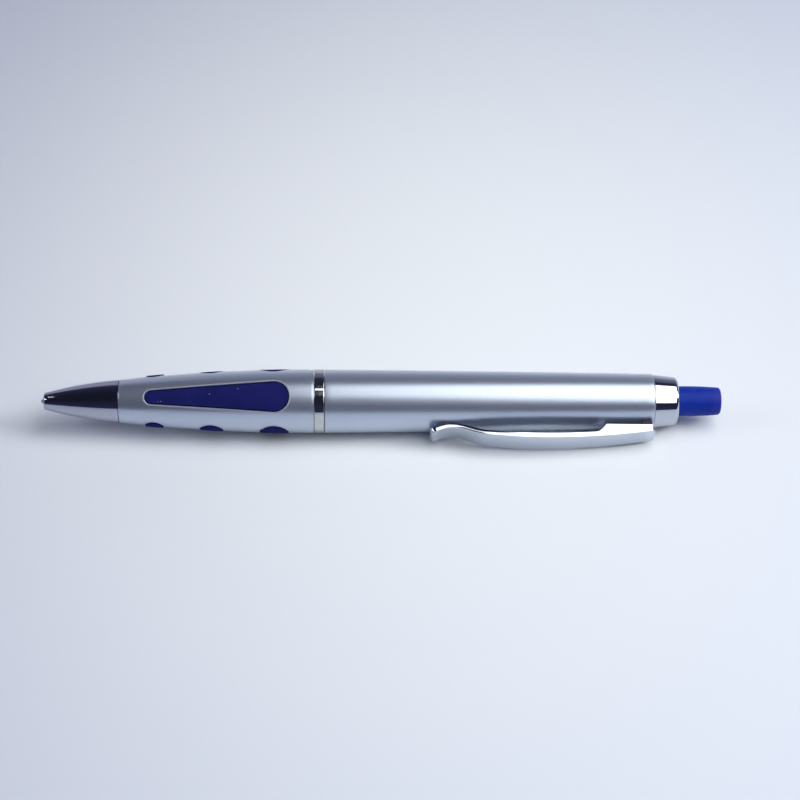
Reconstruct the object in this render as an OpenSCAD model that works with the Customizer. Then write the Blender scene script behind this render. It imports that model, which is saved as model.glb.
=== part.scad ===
// Push-button gel pen with an eraser for a button, lying on a table.
// The pen is drawn upright along Z, with the nose's front plane at 0 and the
// clip on the +X side. lying() then lays it down, nose to -X.
// Stations along the pen are called _s, radii from its axis _r.

/* [Nose] */
// Length of the nose cone that shows
nose_len = 15.5; // [14:0.25:17]
// Radius of the nose's front corner
nose_front_r = 1.78; // [1.7:0.02:2]
// Length of the blunt land behind the front corner
nose_land_len = 1.35; // [0.8:0.05:2]
// Radius of the nose behind that land
nose_land_r = 2.05; // [2:0.01:2.2]
// Radius of the nose where it meets the grip
nose_back_r = 4.45; // [4.4:0.01:4.6]
// How far the nose's side swells out of a straight cone
nose_rise = 0.35; // [0.25:0.05:0.5]
// Radius of the hole that the point comes out of
point_hole_r = 1.25; // [1.2:0.01:1.3]
// Length of the threaded spigot behind the nose
nose_spigot_len = 4; // [3:0.25:4.25]

/* [Grip] */
// Length of the windowed grip shell
grip_len = 40.25; // [38.5:0.25:45]
// Radius of the shell where it meets the nose
grip_front_r = 4.44; // [4.4:0.01:4.6]
// Radius of the shell where it meets the ring
grip_back_r = 6.61; // [6.4:0.01:6.8]
// How far the shell's side swells out of a straight cone
grip_rise = 0.575; // [0.45:0.025:0.7]
// Wall of the shell over the rubber
shell_wall = 0.8; // [0.7:0.05:0.85]
// Wall of the rubber sleeve under the shell
rubber_wall = 0.55; // [0.45:0.05:0.6]
// Radius of the shell's threaded front bore
shell_bore_r = 3.95; // [3.85:0.01:4]
// Radius of a drop window's narrow end
drop_small_r = 1.45; // [1.2:0.05:2]
// Radius of a drop window's wide end
drop_large_r = 3.2; // [2.6:0.1:3.4]
// Radii of the three round windows in a row
dot_r = [2.05, 2.6, 3.2]; // [1.8:0.05:3.4]
// Distance from the shell's front to the centre of the first round window
dot_first = 7.3; // [6.8:0.1:8]
// Distance from the shell's front to the centre of a drop window's narrow end
drop_first = 6.85; // [6.5:0.05:8]
// Distance from the shell's back to the centres of the last round window and the drops' wide end
dot_last = 8.25; // [7:0.25:10]
// Gap between a rubber pad and its window
pad_gap = 0.18; // [0.05:0.01:0.2]
// How far each round pad of a row stands out of the shell
dot_proud = [0.24, 0.08, 0.04]; // [0:0.02:0.3]
// How far a drop pad lies below the shell
drop_sunk = 0.1; // [0:0.02:0.3]
// Turn of the drop windows about the axis, from the clip
grip_clock = -70; // [-180:5:180]

/* [Ring] */
// Width of the ring between the grip and the barrel
ring_w = 2.05; // [1.5:0.05:3]
// Outer radius of the ring
ring_r = 6.66; // [6.5:0.02:6.9]

/* [Barrel] */
// Length of the rear barrel
barrel_len = 68.3; // [66:0.1:74]
// Radius of the barrel at the ring
barrel_front_r = 6.62; // [6.4:0.02:6.8]
// Radius of the barrel at the collar
barrel_back_r = 5.73; // [5.6:0.01:5.9]
// How far the barrel's side swells out of a straight cone
barrel_rise = 0.075; // [0:0.025:0.2]
// Radius of the barrel's bore
barrel_bore_r = 4.95; // [4.7:0.05:5.1]
// Radius of the barrel's threaded front bore
joint_bore_r = 5.25; // [5.2:0.01:5.3]
// Length of the threaded joint inside the barrel
joint_len = 8.5; // [6:0.25:12]
// Radius of the barrel's rear bore, for the cam sleeve and the collar
rear_bore_r = 4.45; // [4.35:0.01:4.6]
// Thickness of the web that the cam sleeve seats on
web_len = 1.8; // [1:0.1:3]

/* [Collar] */
// Length of the end collar that shows
collar_len = 5.25; // [4.5:0.25:7]
// Radius of the collar at the barrel
collar_front_r = 5.57; // [5.3:0.01:5.6]
// Radius of the collar before its rounded end
collar_back_r = 5.08; // [4.8:0.02:5.2]
// Radius of the collar's rounded end
collar_round = 0.95; // [0.6:0.05:1.2]
// Thickness of the collar's rear lip
lip_len = 1.35; // [1:0.05:2]

/* [Button] */
// Length of the button that shows
button_len = 9.05; // [8:0.05:10]
// Radius of the button at the collar
button_r = 3.12; // [3:0.01:3.2]
// Radius of the button before its rounded end
button_end_r = 2.88; // [2.5:0.02:2.9]
// How far the button's side swells out of a straight cone
button_swell = 0.1; // [0:0.02:0.16]
// Radius of the rounding at the button's end
button_round = 0.62; // [0.4:0.02:0.8]
// Radius of the blind hole in the button
button_bore_r = 2.1; // [1.8:0.05:2.2]
// Thickness of the button's end
button_wall = 3; // [2:0.25:4]

/* [Clip] */
// Length of the clip
clip_len = 46; // [42:0.2:52]
// Thickness of the clip's strip
clip_t = 1.15; // [0.9:0.05:1.3]
// Distance from the axis to the top of the bow
clip_bow_r = 10.07; // [9.6:0.05:10.6]
// Distance from the clip's root to the top of the bow
clip_bow_at = 23.1; // [21:0.1:26]
// Distance from the axis to the outside of the root
clip_root_r = 8.13; // [8:0.05:8.6]
// Distance from the clip's tip to the spot that touches the barrel
clip_touch_at = 4; // [3.5:0.1:5.5]
// How far the tip lifts beyond the spot that touches
clip_tip_lift = 1.25; // [0.8:0.05:1.8]
// Width of the clip at its tip
clip_tip_w = 4.3; // [3.6:0.1:5]
// Greatest width of the clip
clip_mid_w = 5.9; // [5:0.1:6.4]
// Width of the clip at its root
clip_root_w = 4.6; // [4:0.05:5]
// Distance from the clip's tip to its widest place
clip_wide_at = 18.5; // [16:0.5:22]
// Length of the thick root block
clip_block_len = 10.1; // [8:0.1:12]
// Distance from the axis to the underside of the root block
clip_block_r = 6.76; // [6.6:0.02:7]
// Width of the tongue that enters the barrel
tongue_w = 3.2; // [2.4:0.1:3.8]
// Length of the tongue along the barrel
tongue_len = 1.9; // [1.4:0.1:2.4]

/* [Click mechanism] */
// Travel of the button and the refill
stroke = 5; // [4:0.25:5]
// Length of the cam sleeve
sleeve_len = 17.2; // [16.5:0.1:18]
// Inner radius of the cam sleeve between its ribs
track_r = 3.45; // [3.4:0.01:3.55]
// Radius inside the cam sleeve's ribs
rib_in_r = 3; // [2.95:0.01:3.1]
// Number of tracks in the cam sleeve
tracks = 4; // [3:1:5]
// Width of a track
track_w = 1.6; // [1.4:0.1:1.8]
// Height of the cam teeth
tooth_h = 1.2; // [0.8:0.1:1.4]
// Length of a rotor rib
rotor_rib_len = 3; // [2.6:0.1:3.2]
// Radius of the rotor's pin in the plunger
rotor_pin_r = 1.5; // [1.2:0.05:1.7]
// Radius of the rotor's waist
rotor_waist_r = 2.4; // [2:0.05:2.6]
// Thickness of the plunger's stop flange
flange_len = 0.9; // [0.7:0.05:1.2]

/* [Refill] */
// How far the point shows at rest
point_out = 0.6; // [0.4:0.05:1]
// Distance from the refill's tail to the back of the collar
tail_room = 22.75; // [22:0.05:23.5]
// Outer radius of the refill's tube
refill_r = 2.9; // [2.7:0.05:2.9]
// Wall of the refill's tube
refill_wall = 0.6; // [0.4:0.05:0.8]
// Radius of the ball
ball_r = 0.35; // [0.25:0.05:0.4]
// Radius of the metal tip's shank
tip_r = 1.1; // [1:0.01:1.12]
// Length of the metal tip that stands out of its holder
tip_len = 7.4; // [7.2:0.1:8]
// Length of the metal tip inside its holder
tip_seat_len = 5; // [4:0.25:7]
// Radius of the tip holder's neck
holder_r = 1.6; // [1.5:0.05:1.7]
// Length of the tip holder's neck
holder_len = 10.2; // [9.5:0.1:11]
// Length of the holder's plug inside the tube
holder_plug_len = 4.5; // [3:0.25:7]
// Length of the ink column
ink_len = 62; // [10:1:75]
// Length of the grease that follows the ink
follower_len = 4; // [2:0.5:6]
// Length of the tail plug inside the tube
tail_plug_len = 3; // [2:0.25:5]

/* [Spring] */
// Radius of the spring's wire
wire_r = 0.2; // [0.15:0.01:0.22]
// Radius of the spring's coil, to the middle of the wire
coil_r = 2.1; // [2.05:0.01:2.15]
// Number of turns in the spring
turns = 8; // [6:1:9]

/* [Fits] */
// Gap between pieces that slide
slide_gap = 0.15; // [0.1:0.01:0.2]
// Gap between pieces that are screwed or pressed together
fit_gap = 0.05; // [0.02:0.01:0.06]

/* [Hidden] */

// Sides of the turned pieces, and bands along a curved outline
round_fn = 96;
bands = 14;
edge = 0.12;
eps = 0.01;

// Stations of the joints between the pieces that show
grip_s = nose_len;
ring_s = grip_s + grip_len;
barrel_s = ring_s + ring_w;
collar_s = barrel_s + barrel_len;
end_s = collar_s + collar_len;
button_s = end_s + button_len;

// A line from r0 to r1 that swells by rise in its middle
function swell(r0, r1, rise, t) = r0 + (r1 - r0)*t + 4*rise*t*(1 - t);
function nose_line(s) =
    swell(nose_land_r, nose_back_r, nose_rise, (s - nose_land_len)/(nose_len - nose_land_len));
function grip_line(s) = swell(grip_front_r, grip_back_r, grip_rise, (s - grip_s)/grip_len);
function barrel_line(s) =
    swell(barrel_front_r, barrel_back_r, barrel_rise, (s - barrel_s)/barrel_len);
function stations(a, b, n = bands) = [for (i = [0:n]) a + (b - a)*i/n];

// Points of a quarter round from angle a to a + 90, about a centre
function quarter(r, s, radius, a, n = 6) =
    [for (i = [0:n]) [r + radius*cos(a + 90*i/n), s + radius*sin(a + 90*i/n)]];

// Inside of the nose: the spring's seat, and the bores before and behind it
spring_bore_r = coil_r + wire_r + slide_gap;
neck_bore_r = holder_r + slide_gap;
refill_bore_r = refill_r + slide_gap;
point_hole_len = 0.7;
neck_bore_s = 1.5;
spring_seat_s = 4.6;
spring_bore_s = 9.2;
refill_bore_s = 10.2;
spigot_s = grip_s + nose_spigot_len;

// Windows in the grip: three round ones in a row, with equal gaps, and drops between the rows
dot_places = [0:len(dot_r) - 1];
drop_s = grip_s + drop_first;
drop_end_s = ring_s - dot_last;
dot_gap = (grip_len - dot_first - dot_last - dot_r[0] - 2*dot_r[1] - dot_r[2])/2;
function dot_s(i) =
    i == 0 ? grip_s + dot_first : dot_s(i - 1) + dot_r[i - 1] + dot_gap + dot_r[i];

// Rubber sleeve and liner inside the grip
shell_lip_len = 1.35;
liner_step_len = 0.6;
liner_bore_r = 4.4;
joint_play = 0.5;
pocket_s = spigot_s + 2*fit_gap;
pocket_end_s = ring_s - shell_lip_len;
sleeve_off = shell_wall + fit_gap;
liner_off = sleeve_off + rubber_wall + fit_gap;
joint_r = joint_bore_r - fit_gap;
liner_step_s = pocket_end_s - liner_step_len;
joint_end_s = barrel_s + joint_len;

// Refill, from its ball to its tail
flange_t = 0.8;
ball_s = ball_r - point_out;
holder_s = tip_len - point_out;
shoulder_s = holder_s + holder_len;
tube_s = shoulder_s + flange_t;
ink_s = tube_s + holder_plug_len;
tail_s = end_s - tail_room;
tube_end_s = tail_s - flange_t;
ink_r = refill_r - refill_wall - fit_gap;

// Click mechanism, placed from the tail of the refill
end_play = 0.3;
cup_len = 1;
cup_floor = 0.8;
cup_wall = 0.2;
cup_play = 0.4;
mouth_len = 2.8;
ramp_over = 0.5;
click_lead = 0.1;
slider_back = 1.2;
slider_root_r = 1.8;
rotor_pin_len = 5;
pin_play = 0.5;
lip_depth = 0.4;
cut_over = 2;
cup_s = tail_s - cup_len;
cup_end_s = tail_s + cup_floor;
sleeve_s = tail_s - stroke;
sleeve_end_s = sleeve_s + sleeve_len;
track_s = cup_end_s + cup_play;
track_end_s = sleeve_end_s - mouth_len;
slider_r = track_r - slide_gap;
slider_w = track_w - 2*slide_gap;
crown_r = rib_in_r - slide_gap;
ramp_w = slider_w + ramp_over;
// The rotor's ribs clear the cam sleeve's teeth just before the end of the stroke
rotor_rib_end_s = track_s + stroke - click_lead;
rotor_rib_s = rotor_rib_end_s - rotor_rib_len;
crown_s = rotor_rib_end_s + slide_gap - tooth_h*(slider_w + ramp_w)/(2*ramp_w);
slider_s = crown_s + tooth_h + slider_back;
rotor_pin_end_s = crown_s + rotor_pin_len;
pin_bore_r = rotor_pin_r + slide_gap;
web_bore_r = refill_bore_r + cup_wall + slide_gap;
stem_r = button_bore_r - fit_gap;
lip_s = end_s - lip_len;
button_front_s = lip_s - click_lead*2;
flange_s = button_front_s - flange_len;
stem_end_s = button_s - button_wall - end_play;
button_hole_r = button_r + slide_gap;
collar_bore_r = button_hole_r + lip_depth;
flange_r = collar_bore_r - slide_gap;
spigot_r = rear_bore_r - fit_gap;

// Clip outline, as distances u from its tip, on the outer face
touch_s = collar_s - clip_len + clip_touch_at;
touch_r = barrel_line(touch_s) + clip_t + 2*eps;
shoulder_at = 12;
shoulder_drop = 0.87;
clip_knots = [
    [0, touch_r + clip_tip_lift, -0.55],
    [clip_touch_at, touch_r, 0],
    [clip_len - clip_bow_at - shoulder_at, clip_bow_r - shoulder_drop, 0.15],
    [clip_len - clip_bow_at, clip_bow_r, 0],
    [clip_len, clip_root_r, -0.15]];
// A cubic between two knots [place, height, slope]
function cubic(a, b, u) =
    let (w = b[0] - a[0], t = (u - a[0])/w, h = t*t*(3 - 2*t))
    a[1] + (b[1] - a[1])*h + w*t*(1 - t)*((1 - t)*a[2] - t*b[2]);
function clip_outer(u) =
    let (k = max([for (i = [0:len(clip_knots) - 2]) if (u >= clip_knots[i][0] - eps) i]))
    cubic(clip_knots[k], clip_knots[k + 1], u);
function clip_slope(u) = (clip_outer(u + eps) - clip_outer(u - eps))/(2*eps);
block_at = clip_len - clip_block_len;
function ease(t) = let (c = min(max(t, 0), 1)) c*c*(3 - 2*c);
function clip_half(u) = u < clip_wide_at
    ? (clip_tip_w + (clip_mid_w - clip_tip_w)*ease(u/clip_wide_at))/2
    : (clip_mid_w + (clip_root_w - clip_mid_w)
        *ease((u - clip_wide_at)/(clip_len - clip_wide_at)))/2;
block_ramp = 2.3;
foot_len = 2;
foot_drop = 0.45;
foot_bevel = 0.4;
foot_at = clip_len - foot_len - foot_drop;
tongue_at = foot_at + (foot_len - tongue_len)/2;

// How the pen lies: the ring and the barrel's back end meet the table, and the
// pen has rolled over until the clip's lower edge meets it too
lie_pitch = atan((ring_r - barrel_back_r)/barrel_len);
lie_points = concat([[ring_r, barrel_s]],
    [for (s = stations(barrel_s, collar_s)) [barrel_line(s), s]]);
lie_h = max([for (p = lie_points) p[0]*cos(lie_pitch) + p[1]*sin(lie_pitch)]);
clip_places = stations(0, clip_len, 60);
function clip_corner_r(u) = norm([clip_outer(u), clip_half(u)]);
function table_r(s) = (lie_h - s*sin(lie_pitch))/cos(lie_pitch);
clip_turn = max([for (u = clip_places)
    let (r = clip_corner_r(u), h = table_r(collar_s - clip_len + u))
    if (r > h) acos(h/r) + atan(clip_half(u)/clip_outer(u))]);
clip_reach = max([for (u = clip_places)
    clip_corner_r(u)*sin(clip_turn + atan(clip_half(u)/clip_outer(u)))]);
lie_x = -(button_s - point_out)/2*cos(lie_pitch);
lie_y = (clip_reach - ring_r)/2;

module lying() {
    translate([lie_x, lie_y, lie_h]) rotate([0, 90 + lie_pitch, 0]) rotate([0, 0, -clip_turn]) children();
}

module turned(points, fn = round_fn) {
    rotate_extrude($fn = fn) polygon(points);
}

// Turns a flat outline drawn along the pen so that it rises from the axis at an angle
module outward(angle, height) {
    rotate([0, 0, angle]) rotate([0, -90, 180]) linear_extrude(height = height) children();
}

// Points of an arc round [x, 0], from angle a to b
function arc_points(x, radius, a, b, n = 16) =
    [for (i = [0:n]) let (c = a + (b - a)*i/n) [x + radius*cos(c), radius*sin(c)]];

// A drop: two arcs joined by their tangents, with x along the pen
module drop_outline(inset) {
    small = drop_small_r - inset;
    large = drop_large_r - inset;
    lean = asin((large - small)/(drop_end_s - drop_s));
    polygon(concat(arc_points(drop_s, small, 90 + lean, 270 - lean),
        arc_points(drop_end_s, large, -90 - lean, 90 + lean)));
}

// Prisms in the shape of the two drop windows, or of the windows at place i in the two rows
module drops(inset) {
    for (side = [0, 180]) {
        outward(grip_clock + side, grip_back_r + 2) drop_outline(inset);
    }
}

module dots(i, inset) {
    for (side = [90, 270]) {
        outward(grip_clock + side, grip_back_r + 2) translate([dot_s(i), 0])
            circle(r = dot_r[i] - inset, $fn = 64);
    }
}

module nose_cone() {
    color("silver") lying() turned(concat(
        [[point_hole_r, 0], [nose_front_r - 2*edge, 0], [nose_front_r, 2*edge]],
        [for (s = stations(nose_land_len, grip_s)) [nose_line(s), s]],
        [[shell_bore_r - fit_gap, grip_s], [shell_bore_r - fit_gap, spigot_s - 2*edge],
        [shell_bore_r - fit_gap - 2*edge, spigot_s], [refill_bore_r, spigot_s],
        [refill_bore_r, refill_bore_s], [spring_bore_r, spring_bore_s],
        [spring_bore_r, spring_seat_s], [neck_bore_r, spring_seat_s],
        [neck_bore_r, neck_bore_s], [point_hole_r, point_hole_len]]));
}

module grip_shell() {
    color("lightsteelblue") lying() difference() {
        turned(concat(
            [[shell_bore_r, grip_s]],
            [for (s = stations(grip_s, ring_s)) [grip_line(s), s]],
            [[joint_bore_r, ring_s], [joint_bore_r, pocket_end_s]],
            [for (s = stations(pocket_end_s, pocket_s)) [grip_line(s) - shell_wall, s]],
            [[shell_bore_r, pocket_s]]));
        drops(0);
        for (i = dot_places) {
            dots(i, 0);
        }
    }
}

// A turned band that rises from the middle of the rubber to lift above the shell
module pad_band(lift, from_s, to_s, n) {
    turned(concat(
        [for (s = stations(from_s, to_s, n)) [grip_line(s) + lift, s]],
        [for (s = stations(to_s, from_s, n)) [grip_line(s) - sleeve_off - rubber_wall/2, s]]));
}

module grip_sleeve() {
    color("navy") lying() union() {
        turned(concat(
            [for (s = stations(pocket_s, pocket_end_s)) [grip_line(s) - sleeve_off, s]],
            [for (s = stations(pocket_end_s, pocket_s))
                [grip_line(s) - sleeve_off - rubber_wall, s]]));
        intersection() {
            pad_band(-drop_sunk, drop_s - drop_small_r - pad_gap,
                drop_end_s + drop_large_r + pad_gap, bands);
            drops(pad_gap);
        }
        for (i = dot_places) {
            intersection() {
                pad_band(dot_proud[i], dot_s(i) - dot_r[i] - eps, dot_s(i) + dot_r[i] + eps, 3);
                dots(i, pad_gap);
            }
        }
    }
}

module grip_liner() {
    color("gainsboro") lying() turned(concat(
        [[refill_bore_r, spigot_s]],
        [for (s = stations(spigot_s, pocket_end_s)) [grip_line(s) - liner_off, s]],
        [[joint_r, pocket_end_s], [joint_r, joint_end_s - 3*edge],
        [joint_r - 3*edge, joint_end_s], [liner_bore_r, joint_end_s],
        [liner_bore_r, liner_step_s]]));
}

module center_ring() {
    color("silver") lying() turned([
        [joint_bore_r, ring_s], [ring_r - edge, ring_s], [ring_r, ring_s + edge],
        [ring_r, barrel_s - edge], [ring_r - edge, barrel_s], [joint_bore_r, barrel_s]]);
}

module rear_barrel() {
    color("lightsteelblue") lying() difference() {
        turned(concat(
            [[joint_bore_r, barrel_s]],
            [for (s = stations(barrel_s, collar_s - edge)) [barrel_line(s), s]],
            [[barrel_line(collar_s) - edge, collar_s], [rear_bore_r, collar_s],
            [rear_bore_r, sleeve_s], [web_bore_r, sleeve_s],
            [web_bore_r, sleeve_s - web_len], [barrel_bore_r, sleeve_s - web_len],
            [barrel_bore_r, joint_end_s + joint_play], [joint_bore_r, joint_end_s + joint_play]]));
        outward(0, barrel_front_r + 1) translate([collar_s - clip_len + tongue_at - fit_gap,
            -tongue_w/2 - fit_gap]) square([tongue_len + 2*fit_gap, tongue_w + 2*fit_gap]);
    }
}

// Side view of the clip: x is u from the tip, y the distance from the axis
module clip_side() {
    inner = [for (u = stations(0, block_at - block_ramp, 30))
        let (m = clip_slope(u), k = clip_t/norm([1, m])) [u + m*k, clip_outer(u) - k]];
    last = inner[len(inner) - 1];
    polygon(concat(
        [for (u = clip_places) [u, clip_outer(u)]],
        [[clip_len, clip_block_r], [foot_at + foot_len, clip_block_r - foot_drop/2],
        [foot_at + foot_len - foot_bevel, clip_block_r - foot_drop],
        [foot_at + foot_bevel, clip_block_r - foot_drop], [foot_at, clip_block_r]],
        [for (i = [0:8]) let (t = i/8)
            [last[0] + (block_at - last[0])*(1 - t),
                last[1] - (last[1] - clip_block_r)*(1 - cos(90*(1 - t)))]],
        [for (i = [len(inner) - 2:-1:0]) inner[i]]));
}

// Plan of the clip, with rounded corners at its root and its tip
module clip_plan() {
    corner = 0.8;
    half = [for (u = stations(corner, clip_len - corner, 40)) [u, clip_half(u)]];
    root = quarter(clip_half(clip_len) - corner, clip_len - corner, corner, 0, 5);
    tip = quarter(clip_half(0) - corner, corner, corner, -90, 5);
    side = concat([for (p = tip) [p[1], p[0]]], half, [for (p = root) [p[1], p[0]]]);
    polygon(concat(side, [for (i = [len(side) - 1:-1:0]) [side[i][0], -side[i][1]]]));
}

module clip() {
    color("gainsboro") lying() union() {
        translate([0, 0, collar_s - clip_len]) intersection() {
            rotate([-90, 0, 0]) rotate([0, 0, -90])
                linear_extrude(height = 2*clip_mid_w, center = true) clip_side();
            outward(0, 2*clip_bow_r) clip_plan();
        }
        translate([rear_bore_r, -tongue_w/2, collar_s - clip_len + tongue_at])
            cube([clip_block_r - rear_bore_r, tongue_w, tongue_len]);
    }
}

module end_collar() {
    color("silver") lying() turned(concat(
        [[spigot_r, sleeve_end_s], [spigot_r, collar_s], [collar_front_r - edge, collar_s],
        [collar_front_r, collar_s + edge]],
        quarter(collar_back_r - collar_round, end_s - collar_round, collar_round, 0),
        [[button_hole_r + edge, end_s], [button_hole_r, end_s - edge], [button_hole_r, lip_s],
        [collar_bore_r, lip_s], [collar_bore_r, sleeve_end_s]]));
}

// A sloping cut across the wall: it takes what lies before a ramp from low_s to low_s + tooth_h
module ramp_before(low_s) {
    outward(0, rear_bore_r) polygon([[low_s - cut_over, -ramp_w/2], [low_s, -ramp_w/2],
        [low_s + tooth_h, ramp_w/2], [low_s - cut_over, ramp_w/2]]);
}

// The opposite cut: it takes what lies behind the same ramp
module ramp_behind(low_s) {
    outward(0, rear_bore_r) polygon([[low_s, -ramp_w/2], [low_s + tooth_h, ramp_w/2],
        [low_s + 2*cut_over, ramp_w/2], [low_s + 2*cut_over, -ramp_w/2]]);
}

module around(count, start = 0) {
    for (i = [0:count - 1]) {
        rotate([0, 0, start + 360*i/count]) children();
    }
}

// Ribs that run in the tracks of the cam sleeve
module sliders(from_s, to_s) {
    around(tracks) intersection() {
        translate([slider_root_r, -slider_w/2, from_s]) cube([track_r, slider_w, to_s - from_s]);
        translate([0, 0, from_s]) cylinder(r = slider_r, h = to_s - from_s, $fn = round_fn);
    }
}

module cam_sleeve() {
    color("whitesmoke") lying() difference() {
        turned([[track_r, sleeve_s], [spigot_r, sleeve_s], [spigot_r, sleeve_end_s],
            [track_r, sleeve_end_s], [track_r, track_end_s], [rib_in_r, track_end_s],
            [rib_in_r, track_s], [track_r, track_s]]);
        intersection() {
            translate([0, 0, track_s - cut_over])
                cylinder(r = track_r, h = track_end_s - track_s + 2*cut_over, $fn = round_fn);
            union() {
                around(tracks) translate([0, -track_w/2, track_s - cut_over])
                    cube([rear_bore_r, track_w, track_end_s - track_s + 2*cut_over]);
                around(tracks, 180/tracks) ramp_before(track_s);
            }
        }
    }
}

module cam_rotor() {
    color("white") lying() union() {
        turned([[0, tail_s], [refill_r + fit_gap, tail_s], [refill_r + fit_gap, cup_s],
            [refill_bore_r + cup_wall, cup_s], [refill_bore_r + cup_wall, cup_end_s],
            [rotor_waist_r, cup_end_s], [rotor_waist_r, crown_s - end_play],
            [rotor_pin_r, crown_s - end_play], [rotor_pin_r, rotor_pin_end_s],
            [0, rotor_pin_end_s]]);
        difference() {
            sliders(rotor_rib_s, rotor_rib_end_s + tooth_h);
            around(tracks) ramp_behind(crown_s - slide_gap);
        }
    }
}

module cam_plunger() {
    color("white") lying() union() {
        difference() {
            turned([[pin_bore_r, crown_s], [crown_r, crown_s], [crown_r, sleeve_end_s],
                [stem_r, sleeve_end_s], [stem_r, flange_s], [flange_r, flange_s],
                [flange_r, button_front_s], [stem_r, button_front_s], [stem_r, stem_end_s],
                [0, stem_end_s], [0, rotor_pin_end_s + pin_play],
                [pin_bore_r, rotor_pin_end_s + pin_play]]);
            around(2*tracks) ramp_before(crown_s);
        }
        difference() {
            sliders(slider_s, track_end_s);
            translate([0, 0, slider_s - cut_over])
                cylinder(r = (pin_bore_r + crown_r)/2, h = track_end_s - slider_s + 2*cut_over,
                    $fn = round_fn);
        }
    }
}

module eraser_button() {
    round_s = button_s - button_round;
    color("mediumblue") lying() turned(concat(
        [[button_bore_r, button_front_s], [button_r, button_front_s]],
        [for (s = stations(end_s, round_s, 6))
            [swell(button_r, button_end_r, button_swell, (s - end_s)/(round_s - end_s)), s]],
        quarter(button_end_r - button_round, round_s, button_round, 0),
        [[0, button_s], [0, button_s - button_wall], [button_bore_r, button_s - button_wall]]));
}

module refill_tube() {
    color("white") lying() turned([
        [refill_r - refill_wall, tube_s], [refill_r, tube_s],
        [refill_r, tube_end_s], [refill_r - refill_wall, tube_end_s]]);
}

module gel_ink() {
    color("midnightblue") lying() translate([0, 0, ink_s]) cylinder(r = ink_r, h = ink_len, $fn = 48);
}

module ink_follower() {
    color("khaki") lying() translate([0, 0, ink_s + ink_len])
        cylinder(r = ink_r, h = follower_len, $fn = 48);
}

module tail_plug() {
    vent_r = 0.4;
    color("white") lying() turned([
        [vent_r, tube_end_s - tail_plug_len],
        [ink_r, tube_end_s - tail_plug_len], [ink_r, tube_end_s],
        [refill_r, tube_end_s], [refill_r, tail_s], [vent_r, tail_s]], 48);
}

module tip_holder() {
    seat_r = tip_r + fit_gap;
    seat_s = holder_s + tip_seat_len;
    feed_r = 0.6;
    color("ghostwhite") lying() turned([
        [seat_r, holder_s], [holder_r - edge, holder_s], [holder_r, holder_s + edge],
        [holder_r, shoulder_s], [refill_r, shoulder_s], [refill_r, tube_s], [ink_r, tube_s],
        [ink_r, ink_s], [feed_r, ink_s], [feed_r, seat_s], [seat_r, seat_s]], 64);
}

module writing_tip() {
    rim_wall = 0.09;
    cone_len = 1.5;
    feed_r = 0.2;
    socket_r = ball_r + eps;
    rim_s = ball_s - ball_r/3;
    rim_r = ball_r*sqrt(8)/3 + eps;
    tip_end_s = holder_s + tip_seat_len;
    color("darkkhaki") lying() turned([
        [rim_r, rim_s], [ball_r + rim_wall, rim_s], [tip_r, rim_s + cone_len],
        [tip_r, tip_end_s], [feed_r, tip_end_s],
        [feed_r, ball_s + ball_r + rim_wall], [socket_r, ball_s + ball_r/2],
        [socket_r, ball_s]], 64);
}

module tip_ball() {
    color("silver") lying() translate([0, 0, ball_s]) sphere(r = ball_r, $fn = 32);
}

// Rings of points along the spring's wire. One turn at each end is closed, so that it seats flat
spring_sides = 6;
spring_steps = 16;
spring_len = shoulder_s - spring_seat_s;
closed_pitch = 2.1*wire_r;
open_pitch = (spring_len - 2*wire_r - 2*closed_pitch)/(turns - 2);
function spring_rise(n) = min(n, 1)*closed_pitch + max(min(n - 1, turns - 2), 0)*open_pitch
    + max(n - turns + 1, 0)*closed_pitch;
function spring_ring(n) = [for (k = [0:spring_sides - 1])
    let (a = 360*k/spring_sides, r = coil_r + wire_r*cos(a))
    [r*cos(360*n), r*sin(360*n), spring_seat_s + wire_r*(1 + sin(a)) + spring_rise(n)]];

module return_spring() {
    rings = turns*spring_steps;
    points = [for (i = [0:rings]) each spring_ring(i/spring_steps)];
    sides = [for (i = [0:rings - 1], k = [0:spring_sides - 1])
        let (a = i*spring_sides + k, b = i*spring_sides + (k + 1)%spring_sides)
        each [[a, b + spring_sides, b], [a, a + spring_sides, b + spring_sides]]];
    first = [for (k = [0:spring_sides - 1]) k];
    last = [for (k = [spring_sides - 1:-1:0]) rings*spring_sides + k];
    color("silver") lying() polyhedron(points, concat([first, last], sides));
}

nose_cone();
grip_shell();
grip_sleeve();
grip_liner();
center_ring();
rear_barrel();
clip();
end_collar();
cam_sleeve();
eraser_button();
cam_plunger();
cam_rotor();
refill_tube();
gel_ink();
ink_follower();
tail_plug();
tip_holder();
writing_tip();
tip_ball();
return_spring();
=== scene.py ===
import math

import bmesh
import bpy
from mathutils import Matrix, Vector


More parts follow.
